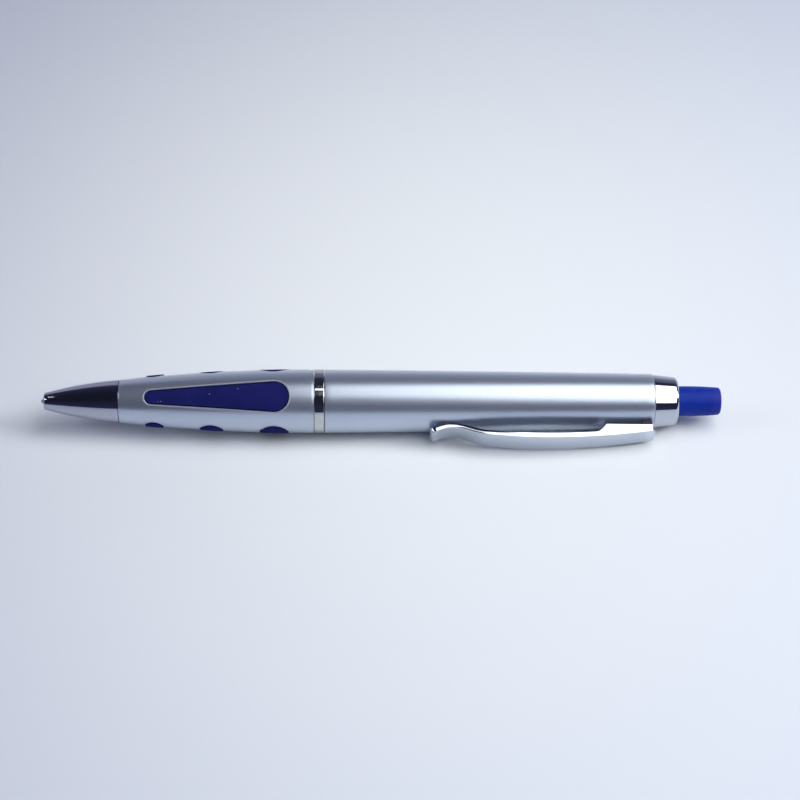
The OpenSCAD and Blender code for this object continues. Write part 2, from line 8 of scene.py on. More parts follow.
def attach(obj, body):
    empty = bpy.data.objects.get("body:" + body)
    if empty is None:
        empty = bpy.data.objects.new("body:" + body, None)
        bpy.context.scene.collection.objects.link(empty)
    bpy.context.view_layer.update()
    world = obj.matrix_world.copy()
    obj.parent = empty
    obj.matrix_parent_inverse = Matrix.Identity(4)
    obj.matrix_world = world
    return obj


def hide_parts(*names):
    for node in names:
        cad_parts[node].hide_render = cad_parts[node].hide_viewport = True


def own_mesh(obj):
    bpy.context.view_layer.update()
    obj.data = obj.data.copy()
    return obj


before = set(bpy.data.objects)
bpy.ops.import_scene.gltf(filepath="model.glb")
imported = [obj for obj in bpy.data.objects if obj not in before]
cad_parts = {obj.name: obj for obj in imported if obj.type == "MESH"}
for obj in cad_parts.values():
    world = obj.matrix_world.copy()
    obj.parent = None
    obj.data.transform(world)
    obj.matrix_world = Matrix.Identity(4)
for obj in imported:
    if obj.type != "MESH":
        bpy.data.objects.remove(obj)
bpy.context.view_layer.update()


# Sizes of the pen in millimetres: s runs along its axis from the nose, r out from it
NOSE_LEN, GRIP_LEN, RING_W, BARREL_LEN, COLLAR_LEN, BUTTON_LEN = 15.5, 40.25, 2.05, 68.3, 5.25, 9.05
RING_S = NOSE_LEN + GRIP_LEN
BARREL_S = RING_S + RING_W
COLLAR_S = BARREL_S + BARREL_LEN
END_S = COLLAR_S + COLLAR_LEN
BUTTON_S = END_S + BUTTON_LEN

# Radii of the outer pieces at their front and back, and how far their lines swell in between
TIP_S, TIP_R, NOSE_BACK_R, NOSE_SWELL = 1.35, 2.05, 4.45, 0.35
GRIP_FRONT_R, GRIP_BACK_R, GRIP_SWELL = 4.44, 6.61, 0.575
RING_R, RING_REST_R = 6.656, 6.66
BARREL_FRONT_R, BARREL_BACK_R, BARREL_SWELL = 6.62, 5.73, 0.075
COLLAR_FRONT_R, COLLAR_BACK_R = 5.57, 5.08
BUTTON_FRONT_R, BUTTON_BACK_R, BUTTON_SWELL = 3.12, 2.88, 0.1

# Bores and shoulders for the pieces inside
SEAT_S, SHOULDER_S = 4.6, 17.0
RUBBER_S, RUBBER_END_S = NOSE_LEN + 4.1, RING_S - 1.35
LINER_R, LINER_END_S = 5.25, 66.8
CAM_S, CAM_END_S, CAM_R = 103.6, 120.8, 4.45
LIP_S = END_S - 1.35

# Chamfer of the plain edges, half the gap of a seam, and the steps round a large turned piece
EDGE, SEAM, FINE_TURN = 0.12, 0.08, 192

# How the pen lies on the table
PITCH = math.atan((RING_REST_R - BARREL_BACK_R) / BARREL_LEN)
CLIP_TURN = math.radians(70.50427)
LIE = (Matrix.Translation((-0.0698935, 0.00190195, 0.00750266))
       @ Matrix.Rotation(math.pi / 2 + PITCH, 4, "Y") @ Matrix.Rotation(-CLIP_TURN, 4, "Z"))
LAY_DOWN = LIE @ Matrix.Scale(0.001, 4)
AXIS = (LIE.to_3x3() @ Vector((0, 0, 1))).normalized()


def on_axis(s):
    """The place in metres of a station on the pen's axis."""
    return LAY_DOWN @ Vector((0, 0, s))


def swell(r0, r1, rise, t):
    """Radius at the share t of a line from r0 to r1 that bulges by rise at its middle."""
    return r0 + (r1 - r0) * t + 4 * rise * t * (1 - t)


def nose_line(s):
    return swell(TIP_R, NOSE_BACK_R, NOSE_SWELL, (s - TIP_S) / (NOSE_LEN - TIP_S))


def grip_line(s):
    return swell(GRIP_FRONT_R, GRIP_BACK_R, GRIP_SWELL, (s - NOSE_LEN) / GRIP_LEN)


def barrel_line(s):
    return swell(BARREL_FRONT_R, BARREL_BACK_R, BARREL_SWELL, (s - BARREL_S) / BARREL_LEN)


def stations(a, b, n):
    return [a + (b - a) * i / n for i in range(n + 1)]


def along(line, a, b, n, off=0.0):
    """Points of a line of radii between two stations, moved out by off."""
    return [(line(s) + off, s) for s in stations(a, b, n)]


def quarter(r, s, radius, start, n):
    """Points of a quarter circle round (r, s) that begins at the angle start."""
    angles = [math.radians(start + 90 * i / n) for i in range(n + 1)]
    return [(r + radius * math.cos(a), s + radius * math.sin(a)) for a in angles]


# Camera: almost square to the pen, aimed a little to the right of its middle, from 41 degrees up
def set_camera():
    frame_px, lens_px, distance = 800, 2160.0, 0.4488
    aim_s, aim_right_px, aim_up_px, lean, height = 69.88, 17.73, 1.2, 0.0375, 41.0
    rise = -math.sin(math.radians(height))
    forward_x = (lean - AXIS.z * rise) / AXIS.x
    forward = Vector((forward_x, math.sqrt(1 - rise ** 2 - forward_x ** 2), rise))
    right = (AXIS - forward * AXIS.dot(forward)).normalized()
    up = right.cross(forward)
    place = (on_axis(aim_s) - forward * distance + right * (aim_right_px / lens_px * distance)
             + up * (aim_up_px / lens_px * distance))
    data = bpy.data.cameras.new("camera")
    data.sensor_width = 36
    data.lens = lens_px / frame_px * data.sensor_width
    data.clip_start, data.clip_end = 0.01, 50
    camera = bpy.data.objects.new("camera", data)
    camera.matrix_world = Matrix((
        (right.x, up.x, -forward.x, place.x), (right.y, up.y, -forward.y, place.y),
        (right.z, up.z, -forward.z, place.z), (0, 0, 0, 1)))
    bpy.context.scene.collection.objects.link(camera)
    bpy.context.scene.camera = camera


set_camera()


# Shader maths
class Wire:
    """A socket that takes part in sums."""

    def __init__(self, finish, socket):
        self.finish, self.socket = finish, socket

    def sum(self, operation, *values):
        return self.finish.node("ShaderNodeMath", {"operation": operation}, *values)

    def __add__(self, other):
        return self.sum("ADD", self, other)

    def __radd__(self, other):
        return self.sum("ADD", other, self)

    def __sub__(self, other):
        return self.sum("SUBTRACT", self, other)

    def __rsub__(self, other):
        return self.sum("SUBTRACT", other, self)

    def __mul__(self, other):
        return self.sum("MULTIPLY", self, other)

    def __rmul__(self, other):
        return self.sum("MULTIPLY", other, self)

    def __truediv__(self, other):
        return self.sum("DIVIDE", self, other)

    def above(self, low, high):
        """0 under low, 1 over high, smooth between."""
        return self.finish.node("ShaderNodeMapRange", {"interpolation_type": "SMOOTHSTEP"},
                                Value=self, From_Min=low, From_Max=high)


class Finish:
    """A material, or the world, built from nodes."""

    def __init__(self, name, holder=None):
        self.holder = holder or bpy.data.materials.new(name)
        self.holder.use_nodes = True
        self.tree = self.holder.node_tree

    def node(self, kind, settings=None, *values, out=0, **named):
        made = self.tree.nodes.new(kind)
        for key, value in (settings or {}).items():
            if key == "stops":
                ramp = made.color_ramp
                while len(ramp.elements) < len(value):
                    ramp.elements.new(0.5)
                for element, (place, colour) in zip(ramp.elements, value):
                    element.position, element.color = place, (*colour, 1.0)
            else:
                setattr(made, key, value)
        for i, value in enumerate(values):
            self.feed(made.inputs[i], value)
        for key, value in named.items():
            self.feed(made.inputs[key.replace("_", " ")], value)
        return Wire(self, made.outputs[out])

    def feed(self, socket, value):
        if isinstance(value, Wire):
            self.tree.links.new(value.socket, socket)
        elif isinstance(value, tuple) and len(value) == 3 and socket.type == "RGBA":
            socket.default_value = (*value, 1.0)
        else:
            socket.default_value = value

    def place(self):
        return self.node("ShaderNodeTexCoord", out=3)

    def shifted(self, shift):
        return self.node("ShaderNodeMapping", None, Vector=self.place(), Location=shift)

    def noise(self, scale, detail, rough):
        return self.node("ShaderNodeTexNoise", None, Vector=self.place(), Scale=scale, Detail=detail,
                         Roughness=rough)

    def specks(self, scale, size, share):
        """Mask of small round specks, about one for each cell of 1/scale, kept in a share of the cells."""
        cells = self.tree.nodes.new("ShaderNodeTexVoronoi")
        self.feed(cells.inputs["Vector"], self.place())
        cells.inputs["Scale"].default_value = scale
        kept = Wire(self, cells.outputs["Color"]).above(1 - share, 1 - share + 0.01)
        return (1 - Wire(self, cells.outputs["Distance"]).above(size * 0.5, size)) * kept

    def mix(self, share, first, second):
        made = self.tree.nodes.new("ShaderNodeMix")
        made.data_type = "RGBA"
        self.feed(made.inputs[0], share)
        self.feed(made.inputs[6], first)
        self.feed(made.inputs[7], second)
        return Wire(self, made.outputs[2])

    def bump(self, height, distance, strength=1.0):
        return self.node("ShaderNodeBump", None, Strength=strength, Distance=distance, Height=height)

    def surface(self, **sockets):
        shader = self.tree.nodes["Principled BSDF"]
        for key, value in sockets.items():
            self.feed(shader.inputs[key.replace("_", " ")], value)
        return self.holder


def chrome(name, tint, dust=0.0):
    f = Finish(name)
    smudge = f.noise(160, 4, 0.6).above(0.45, 0.75)
    fine = f.noise(2600, 3, 0.6)
    colour = f.mix(smudge * 0.5, tint, tuple(c * 0.88 for c in tint))
    if not dust:
        return f.surface(Base_Color=colour, Metallic=1.0, Roughness=0.05 + smudge * 0.05,
                         Normal=f.bump(fine, 0.0000012))
    specks = f.specks(900, 0.2, dust)
    return f.surface(Base_Color=f.mix(specks, colour, (0.75, 0.77, 0.8)), Metallic=1 - specks * 0.9,
                     Roughness=0.055 + smudge * 0.05 + specks * 0.5, Normal=f.bump(fine, 0.0000012))


def silver_lacquer():
    f = Finish("silver_lacquer")
    flake = f.noise(7000, 2, 0.7).above(0.35, 0.7)
    cloud = f.noise(90, 3, 0.5)
    colour = f.mix(flake * 0.5, (0.435, 0.495, 0.615), (0.55, 0.625, 0.765))
    colour = f.mix(cloud * 0.15, colour, (0.47, 0.53, 0.65))
    return f.surface(Base_Color=colour, Metallic=0.8, Roughness=0.275 + cloud * 0.05,
                     Normal=f.bump(flake, 0.0000012), Coat_Weight=1.0, Coat_Roughness=0.2)


def rubber():
    f = Finish("blue_rubber")
    grain = f.noise(5200, 3, 0.6)
    cloud = f.noise(220, 3, 0.55)
    lint = f.specks(1500, 0.17, 0.2)
    colour = f.mix(cloud.above(0.3, 0.75), (0.009, 0.0112, 0.10), (0.0115, 0.0145, 0.122))
    colour = f.mix(lint * 0.75, colour, (0.45, 0.48, 0.62))
    return f.surface(Base_Color=colour, Roughness=0.78 + grain * 0.2, Specular_IOR_Level=0.08,
                     Normal=f.bump(grain, 0.00001, 0.6))


def eraser():
    """Blue elastic, a shade more violet at the button's worn end, which is placed by x in metres."""
    f = Finish("blue_eraser")
    grain = f.noise(3400, 3, 0.6)
    cloud = f.noise(260, 4, 0.6)
    x = f.node("ShaderNodeSeparateXYZ", None, f.place())
    end = x.above(0.0668, 0.0706) * cloud.above(0.25, 0.7)
    colour = f.mix(cloud.above(0.3, 0.7), (0.003, 0.021, 0.26), (0.006, 0.030, 0.33))
    colour = f.mix(end * 0.6, colour, (0.035, 0.03, 0.27))
    return f.surface(Base_Color=colour, Roughness=0.36 + grain * 0.14, Specular_IOR_Level=0.12,
                     Normal=f.bump(grain, 0.000012, 0.5))


def plastic(name, colour, rough, cloudy=0.04, **more):
    f = Finish(name)
    cloud = f.noise(180, 3, 0.5)
    darker = tuple(c * (1 - cloudy) for c in colour)
    return f.surface(Base_Color=f.mix(cloud, darker, colour), Roughness=rough + cloud * 0.06,
                     Normal=f.bump(f.noise(2400, 2, 0.5), 0.000004), **more)


def metal(name, colour, rough):
    f = Finish(name)
    cloud = f.noise(700, 4, 0.6)
    darker = tuple(c * 0.8 for c in colour)
    return f.surface(Base_Color=f.mix(cloud, darker, colour), Metallic=1.0, Roughness=rough + cloud * 0.1,
                     Normal=f.bump(f.noise(6000, 3, 0.6), 0.000002))


FINISHES = {
    "chrome_plate": chrome("chrome_plate", (0.50, 0.53, 0.60)),
    "silver_lacquer": silver_lacquer(),
    "blue_rubber": rubber(),
    "blue_eraser": eraser(),
    "white_plastic": plastic("white_plastic", (0.8, 0.8, 0.79), 0.35),
    "clear_plastic": plastic("clear_plastic", (0.86, 0.88, 0.9), 0.25, Transmission_Weight=0.35),
    "blue_gel": plastic("blue_gel", (0.006, 0.012, 0.13), 0.15, 0.2),
    "pale_grease": plastic("pale_grease", (0.7, 0.66, 0.45), 0.3),
    "nickel_silver": metal("nickel_silver", (0.36, 0.39, 0.32), 0.22),
    "carbide": metal("carbide", (0.22, 0.24, 0.22), 0.15),
    "spring_steel": metal("spring_steel", (0.5, 0.5, 0.51), 0.25),
}
# The nose, ring and clip are the same chrome plate as the collar. These copies are tinted darker on the nose as
# painted shade, lighter and bluer on the clip as painted light, and greyer on the ring as a painted reflection tone
NOSE_CHROME_PAINTED_SHADE = chrome("nose_chrome", (0.44, 0.46, 0.55), 0.05)
RING_CHROME_PAINTED_TONE = chrome("ring_chrome", (0.53, 0.56, 0.56))
CLIP_CHROME_PAINTED_LIGHT = chrome("clip_chrome", (0.60, 0.65, 0.74))


# Making pieces. Each is shaped upright in millimetres, then laid down in its place
SHARP = math.radians(32)


def finish_piece(name, bm, slot, body, node, material=None):
    """A piece made of the shape, which stands for a node and moves with a body."""
    bmesh.ops.remove_doubles(bm, verts=bm.verts, dist=0.0008)
    bmesh.ops.transform(bm, matrix=LAY_DOWN, verts=bm.verts)
    for face in bm.faces:
        face.smooth = True
    for e in bm.edges:
        if len(e.link_faces) == 2:
            e.smooth = e.calc_face_angle(0) < SHARP
    mesh = bpy.data.meshes.new(name)
    bm.to_mesh(mesh)
    bm.free()
    mesh.materials.append(material or FINISHES[slot])
    piece = bpy.data.objects.new(name, mesh)
    bpy.context.scene.collection.objects.link(piece)
    even = piece.modifiers.new("even_normals", "WEIGHTED_NORMAL")
    even.keep_sharp = True
    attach(piece, body)
    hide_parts(node)
    return piece


def spun(outline, steps=160, closed=True):
    """A turned solid from an outline of (r, s) points."""
    bm = bmesh.new()
    points = [bm.verts.new((r, 0, s)) for r, s in outline]
    edges = [bm.edges.new(pair) for pair in zip(points, points[1:])]
    if closed:
        edges.append(bm.edges.new((points[-1], points[0])))
    bmesh.ops.spin(bm, geom=points + edges, cent=(0, 0, 0), axis=(0, 0, 1), angle=2 * math.pi,
                   steps=steps, use_merge=True, use_duplicate=False)
    bmesh.ops.remove_doubles(bm, verts=bm.verts, dist=0.0005)
    bmesh.ops.recalc_face_normals(bm, faces=bm.faces)
    return bm


def soften(bm, width, angle, segments, where=None):
    """Round every edge that turns by more than the angle."""
    edges = [e for e in bm.edges if len(e.link_faces) == 2 and e.calc_face_angle(0) > math.radians(angle)
             and (where is None or where(e))]
    bmesh.ops.bevel(bm, geom=edges, offset=width, offset_type="OFFSET", affect="EDGES", segments=segments,
                    profile=0.5, material=-1, clamp_overlap=True)


def new_verts(made):
    """The vertices that an extrusion has made."""
    return [g for g in made["geom"] if isinstance(g, bmesh.types.BMVert)]


def prism(outline, angle, reach):
    """A prism on a flat outline of (s, across) points that rises from the axis at an angle."""
    bm = bmesh.new()
    face = bm.faces.new([bm.verts.new((0, -y, x)) for x, y in outline])
    bmesh.ops.translate(bm, vec=(reach, 0, 0), verts=new_verts(bmesh.ops.extrude_face_region(bm, geom=[face])))
    bmesh.ops.rotate(bm, cent=(0, 0, 0), matrix=Matrix.Rotation(math.radians(angle), 3, "Z"), verts=bm.verts)
    bmesh.ops.recalc_face_normals(bm, faces=bm.faces)
    return bm


def held(bm, name="blank"):
    """An object that holds the shape."""
    mesh = bpy.data.meshes.new(name)
    bm.to_mesh(mesh)
    bm.free()
    piece = bpy.data.objects.new(name, mesh)
    bpy.context.scene.collection.objects.link(piece)
    return piece


def carved(bm, tools, operation="DIFFERENCE"):
    """The shape after each tool's solid is cut from it, or kept in common with it."""
    blank = held(bm)
    cutters = [held(tool, "tool") for tool in tools]
    for cutter in cutters:
        cut = blank.modifiers.new("cut", "BOOLEAN")
        cut.operation, cut.solver, cut.object = operation, "EXACT", cutter
    mesh = bpy.data.meshes.new_from_object(blank.evaluated_get(bpy.context.evaluated_depsgraph_get()))
    result = bmesh.new()
    result.from_mesh(mesh)
    bpy.data.meshes.remove(mesh)
    for piece in [blank, *cutters]:
        bpy.data.objects.remove(piece)
    return result


def wire(points, radius, closed=False):
    """A round wire along a line of points."""
    line = bpy.data.curves.new("wire", "CURVE")
    line.dimensions, line.bevel_depth, line.bevel_resolution, line.use_fill_caps = "3D", radius, 2, True
    spline = line.splines.new("POLY")
    spline.points.add(len(points) - 1)
    for knot, place in zip(spline.points, points):
        knot.co = (*place, 1)
    spline.use_cyclic_u = closed
    holder = bpy.data.objects.new("wire", line)
    mesh = bpy.data.meshes.new_from_object(holder)
    bm = bmesh.new()
    bm.from_mesh(mesh)
    bpy.data.objects.remove(holder)
    bpy.data.meshes.remove(mesh)
    return bm


def joined(*parts):
    """One shape of several that stay apart."""
    result = bmesh.new()
    for part in parts:
        mesh = bpy.data.meshes.new("part")
        part.to_mesh(mesh)
        part.free()
        result.from_mesh(mesh)
        bpy.data.meshes.remove(mesh)
    return result


# Nose cone: the mouth, the spigot that goes into the grip, and the bore with the spring's seat
MOUTH = [(1.25, 0.0), (1.54, 0.0), (1.78, 0.24)]
SPIGOT = [(nose_line(NOSE_LEN) - 0.1, NOSE_LEN), (3.9, NOSE_LEN), (3.9, 19.26), (3.66, 19.5)]
NOSE_BORE = [(3.05, 19.5), (3.05, 10.2), (2.45, 9.2), (2.45, SEAT_S), (1.75, SEAT_S), (1.75, 1.5), (1.25, 0.7)]
nose = spun(MOUTH + along(nose_line, TIP_S, NOSE_LEN - 0.05, 40) + SPIGOT + NOSE_BORE)
soften(nose, 0.05, 24, 2, lambda e: max(v.co.z for v in e.verts) < TIP_S + 0.15)
finish_piece("nose_cone_chrome", nose, "chrome_plate", "pen", "nose_cone", NOSE_CHROME_PAINTED_SHADE)


# Windows in the grip: two drops and two rows of dots, each cut out to past the widest radius
DOT_R, DOT_S = (2.05, 2.6, 3.2), (22.8, 34.575, 47.5)
DROP_R, DROP_S = (1.45, 3.2), (22.35, 47.5)
DROP_SIDES, DOT_SIDES, ROW = (-70, 110), (20, 200), range(3)
RIM_R, RIM_OUT, RIM_SUNK, RIM_STEP = 0.2, 0.15, 0.14, 0.4
CUT_R = 9


def arc(x, radius, a, b, n=32):
    angles = [math.radians(a + (b - a) * i / n) for i in range(n + 1)]
    return [(x + radius * math.cos(c), radius * math.sin(c)) for c in angles]


def drop(inset):
    """Outline of a drop window, drawn in by inset."""
    small, large = DROP_R[0] - inset, DROP_R[1] - inset
    lean = math.degrees(math.asin((large - small) / (DROP_S[1] - DROP_S[0])))
    return arc(DROP_S[0], small, 90 + lean, 270 - lean) + arc(DROP_S[1], large, -90 - lean, 90 + lean)


def dot(i, inset):
    """Outline of a round window, drawn in by inset."""
    return arc(DOT_S[i], DOT_R[i] - inset, 0, 360 - 360 / 64, 63)


def rim(outline, angle):
    """The rounded edge of a window, as a bead that follows the shell's surface."""
    path = []
    for (s0, y0), (s1, y1) in zip(outline, outline[1:] + outline[:1]):
        n = max(1, round(math.hypot(s1 - s0, y1 - y0) / RIM_STEP))
        path += [(s0 + (s1 - s0) * i / n, y0 + (y1 - y0) * i / n) for i in range(n)]
    turn = Matrix.Rotation(math.radians(angle), 3, "Z")
    return wire([turn @ Vector((math.sqrt((grip_line(a) - RIM_SUNK) ** 2 - y * y), -y, a)) for a, y in path],
                RIM_R, True)


SHELL_WALL, SHELL_BORE_R, FRONT_ROUND, BACK_ROUND = 0.8, 3.95, 0.1, 0.07
front_s, back_s = NOSE_LEN + FRONT_ROUND + SEAM, RING_S - BACK_ROUND - SEAM
shell = spun([(SHELL_BORE_R, NOSE_LEN + SEAM)]
             + quarter(grip_line(NOSE_LEN + FRONT_ROUND) - FRONT_ROUND, front_s, FRONT_ROUND, -90, 4)[:-1]
             + along(grip_line, front_s, back_s, 72)
             + quarter(GRIP_BACK_R - BACK_ROUND, back_s, BACK_ROUND, 0, 4)[1:]
             + [(LINER_R, RING_S - SEAM), (LINER_R, RUBBER_END_S)]
             + along(grip_line, RUBBER_END_S, RUBBER_S, 16, -SHELL_WALL) + [(SHELL_BORE_R, RUBBER_S)], FINE_TURN)
shell = carved(shell, [prism(drop(0), a, CUT_R) for a in DROP_SIDES]
               + [prism(dot(i, 0), a, CUT_R) for a in DOT_SIDES for i in ROW])
rims = ([rim(drop(-RIM_OUT), a) for a in DROP_SIDES]
        + [rim(dot(i, -RIM_OUT), a) for a in DOT_SIDES for i in ROW])
# The rims take a second finish, a lighter and rougher copy of the lacquer that looks bright all round: a painted
# highlight along the windows' rounded edges
for face in [face for bead in rims for face in bead.faces]:
    face.material_index = 1
grip_shell = finish_piece("grip_shell_lacquered", joined(shell, *rims), "silver_lacquer", "pen", "grip_shell")
grip_shell.data.materials.append(plastic("window_edge_painted_highlight", (0.42, 0.45, 0.58), 0.5, Metallic=0.5))


# Rubber sleeve, with the pads that fill the windows but for a narrow gap
GAP, PAD_ROOT, DROP_PROUD, DOT_PROUD = 0.24, -1.1, -0.1, (0.24, 0.08, 0.04)
SLEEVE_OFF, RUBBER_WALL = 0.85, 0.55


def pad(outline, angle, proud, from_s, to_s):
    band = spun(along(grip_line, from_s, to_s, 24, proud) + along(grip_line, to_s, from_s, 24, PAD_ROOT), FINE_TURN)
    return carved(band, [prism(outline, angle, CUT_R)], "INTERSECT")


pads = [pad(drop(GAP), a, DROP_PROUD, DROP_S[0] - 1.8, DROP_S[1] + 3.4) for a in DROP_SIDES]
pads += [pad(dot(i, GAP), a, DOT_PROUD[i], DOT_S[i] - DOT_R[i] - 0.1, DOT_S[i] + DOT_R[i] + 0.1)
         for a in DOT_SIDES for i in ROW]
sleeve = spun(along(grip_line, RUBBER_S, RUBBER_END_S, 30, -SLEEVE_OFF)
              + along(grip_line, RUBBER_END_S, RUBBER_S, 30, -SLEEVE_OFF - RUBBER_WALL), 128)
finish_piece("grip_sleeve_rubber", joined(sleeve, *pads), "blue_rubber", "pen", "grip_sleeve")


# Ring
RING_ROUND = 0.14
ring = spun([(LINER_R, RING_S)] + quarter(RING_R - RING_ROUND, RING_S + RING_ROUND, RING_ROUND, -90, 4)
            + [(RING_R, s) for s in stations(RING_S + RING_ROUND + 0.02, BARREL_S - RING_ROUND - 0.02, 6)]
            + quarter(RING_R - RING_ROUND, BARREL_S - RING_ROUND, RING_ROUND, 0, 4)
            + [(LINER_R, BARREL_S)], FINE_TURN)
finish_piece("center_ring_chrome", ring, "chrome_plate", "pen", "center_ring", RING_CHROME_PAINTED_TONE)


# Barrel: the stop inside it carries the guide of the click mechanism
BARREL_ROUND, TUBE_R, STOP_R, STOP_W = 0.22, 4.95, 3.4, 1.8
round_end_s = BARREL_S + BARREL_ROUND + SEAM
barrel = spun([(LINER_R, BARREL_S + SEAM)]
              + quarter(BARREL_FRONT_R - BARREL_ROUND, round_end_s, BARREL_ROUND, -90, 6)[:-1]
              + along(barrel_line, round_end_s, COLLAR_S - EDGE, 60)
              + [(barrel_line(COLLAR_S) - EDGE, COLLAR_S), (CAM_R, COLLAR_S), (CAM_R, CAM_S), (STOP_R, CAM_S),
                 (STOP_R, CAM_S - STOP_W), (TUBE_R, CAM_S - STOP_W), (TUBE_R, LINER_END_S),
                 (LINER_R, LINER_END_S)], FINE_TURN)
soften(barrel, 0.06, 30, 2, lambda e: min(v.co.xy.length for v in e.verts) > LINER_R + 0.05)
finish_piece("rear_barrel_lacquered", barrel, "silver_lacquer", "pen", "rear_barrel")


# Collar: a cone with a round back edge, and the hole for the button
COLLAR_ROUND, PLUG_R, HOLE_R, CAM_SEAT_R = 0.95, 4.4, 3.27, 3.67
cone_s, cone_len = COLLAR_S + EDGE, COLLAR_LEN - COLLAR_ROUND - EDGE
collar = spun([(PLUG_R, CAM_END_S), (PLUG_R, COLLAR_S), (COLLAR_FRONT_R - EDGE, COLLAR_S), (COLLAR_FRONT_R, cone_s)]
              + [(COLLAR_FRONT_R + (COLLAR_BACK_R - COLLAR_FRONT_R) * t, cone_s + cone_len * t)
                 for t in stations(0.1, 0.9, 8)]
              + quarter(COLLAR_BACK_R - COLLAR_ROUND, END_S - COLLAR_ROUND, COLLAR_ROUND, 0, 12)
              + [(HOLE_R + EDGE, END_S), (HOLE_R, END_S - EDGE), (HOLE_R, LIP_S), (CAM_SEAT_R, LIP_S),
                 (CAM_SEAT_R, CAM_END_S)], FINE_TURN)
finish_piece("end_collar_chrome", collar, "chrome_plate", "pen", "end_collar")


# Button: it starts a little in front of the collar's lip, and is hollow up to a thick end
BUTTON_ROUND, BUTTON_BORE_R, BUTTON_END = 0.62, 2.1, 3
button_start_s, round_s = LIP_S - 0.2, BUTTON_S - BUTTON_ROUND


def button_line(s):
    return swell(BUTTON_FRONT_R, BUTTON_BACK_R, BUTTON_SWELL, (s - END_S) / (round_s - END_S))


button = spun([(BUTTON_BORE_R, button_start_s), (BUTTON_FRONT_R, button_start_s)]
              + along(button_line, END_S, round_s, 20)
              + quarter(BUTTON_BACK_R - BUTTON_ROUND, round_s, BUTTON_ROUND, 0, 8)[1:]
              + [(0.0, BUTTON_S), (0.0, BUTTON_S - BUTTON_END), (BUTTON_BORE_R, BUTTON_S - BUTTON_END)], 128)
finish_piece("eraser_button_soft", button, "blue_eraser", "button", "eraser_button")


# Pocket clip: u runs along it from its tip, and each knot is a station, a radius and a slope
CLIP_LEN, CLIP_T, CLIP_CLEAR = 46.0, 1.0, 0.02
CLIP_S = COLLAR_S - CLIP_LEN
TIP_W, WIDE_W, ROOT_W, WIDE_AT, CORNER = 4.3, 5.9, 4.6, 18.5, 0.8
BLOCK_AT, BLOCK_RAMP, BLOCK_R, FOOT_AT = 35.9, 2.3, 6.76, 43.55
RAMP_AT = BLOCK_AT - BLOCK_RAMP
TOUCH_AT, TIP_LIFT, BOW_R, SHOULDER_DROP, ROOT_R = 4.0, 1.25, 10.07, 0.87, 8.13
TOUCH_R = barrel_line(CLIP_S + TOUCH_AT) + CLIP_T + CLIP_CLEAR
KNOTS = [(0, TOUCH_R + TIP_LIFT, -0.55), (TOUCH_AT, TOUCH_R, 0), (10.9, BOW_R - SHOULDER_DROP, 0.15),
         (22.9, BOW_R, 0), (CLIP_LEN, ROOT_R, -0.15)]


def clip_outer(u):
    """Radius of the clip's outer face, a smooth curve through the knots."""
    a, b = [pair for pair in zip(KNOTS, KNOTS[1:]) if u >= pair[0][0] - 0.01][-1]
    w = b[0] - a[0]
    t = (u - a[0]) / w
    h = t * t * (3 - 2 * t)
    return a[1] + (b[1] - a[1]) * h + w * t * (1 - t) * ((1 - t) * a[2] - t * b[2])


def clip_slope(u):
    return (clip_outer(u + 0.01) - clip_outer(u - 0.01)) / 0.02


def ease(t):
    c = min(max(t, 0), 1)
    return c * c * (3 - 2 * c)


def clip_half(u):
    """Half the clip's width, with round corners at both ends."""
    if u < WIDE_AT:
        half = (TIP_W + (WIDE_W - TIP_W) * ease(u / WIDE_AT)) / 2
    else:
        half = (WIDE_W + (ROOT_W - WIDE_W) * ease((u - WIDE_AT) / (CLIP_LEN - WIDE_AT))) / 2
    end = min(u, CLIP_LEN - u)
    return half - (CORNER - math.sqrt(max(CORNER ** 2 - (CORNER - end) ** 2, 0)) if end < CORNER else 0)


def clip_inner(u):
    """Point under the station u of the clip's outer face."""
    m = clip_slope(u)
    k = CLIP_T / math.hypot(1, m)
    if u < RAMP_AT:
        return u + m * k, clip_outer(u) - k
    if u < BLOCK_AT:
        t = 1 - (BLOCK_AT - u) / BLOCK_RAMP
        start = clip_outer(RAMP_AT) - CLIP_T
        return u, start - (start - BLOCK_R) * (1 - math.cos(math.pi / 2 * t))
    return u, BLOCK_R


def clip_marks():
    """Stations of the clip's rows of vertices, closer together where it bends."""
    corner = [CORNER * (1 - math.cos(math.pi / 2 * i / 6)) for i in range(6)]
    return (corner + stations(CORNER, RAMP_AT, 110) + stations(RAMP_AT, BLOCK_AT, 14)[1:]
            + stations(BLOCK_AT, CLIP_LEN - CORNER, 22)[1:] + [CLIP_LEN - u for u in reversed(corner)])


def clip_blade():
    """The side of the clip, drawn from its outer line inwards and then given its width."""
    marks = clip_marks()
    bm = bmesh.new()
    outer = [bm.verts.new((clip_outer(u), 0, CLIP_S + u)) for u in marks]
    line = [bm.edges.new(pair) for pair in zip(outer, outer[1:])]
    inner = sorted(new_verts(bmesh.ops.extrude_edge_only(bm, edges=line)), key=lambda v: v.co.z)
    for v, u in zip(inner, marks):
        across, height = clip_inner(u)
        v.co = (height, 0, CLIP_S + across)
    halves = {v: clip_half(u) for row in (outer, inner) for v, u in zip(sorted(row, key=lambda v: v.co.z), marks)}
    copied = new_verts(bmesh.ops.extrude_face_region(bm, geom=list(bm.faces)))
    near, far = (sorted(side, key=lambda v: (v.co.z, v.co.x)) for side in (halves, copied))
    for a, b in zip(near, far):
        a.co.y, b.co.y = -halves[a], halves[a]
    bmesh.ops.recalc_face_normals(bm, faces=bm.faces)
    return bm


def lug(s, length, half, bottom, top):
    """A block under the clip's root, between two radii."""
    bm = prism([(s, -half), (s + length, -half), (s + length, half), (s, half)], 0, top)
    bmesh.ops.bisect_plane(bm, geom=bm.verts[:] + bm.edges[:] + bm.faces[:], plane_co=(bottom, 0, 0),
                           plane_no=(1, 0, 0), clear_inner=True)
    bmesh.ops.holes_fill(bm, edges=bm.edges)
    return bm


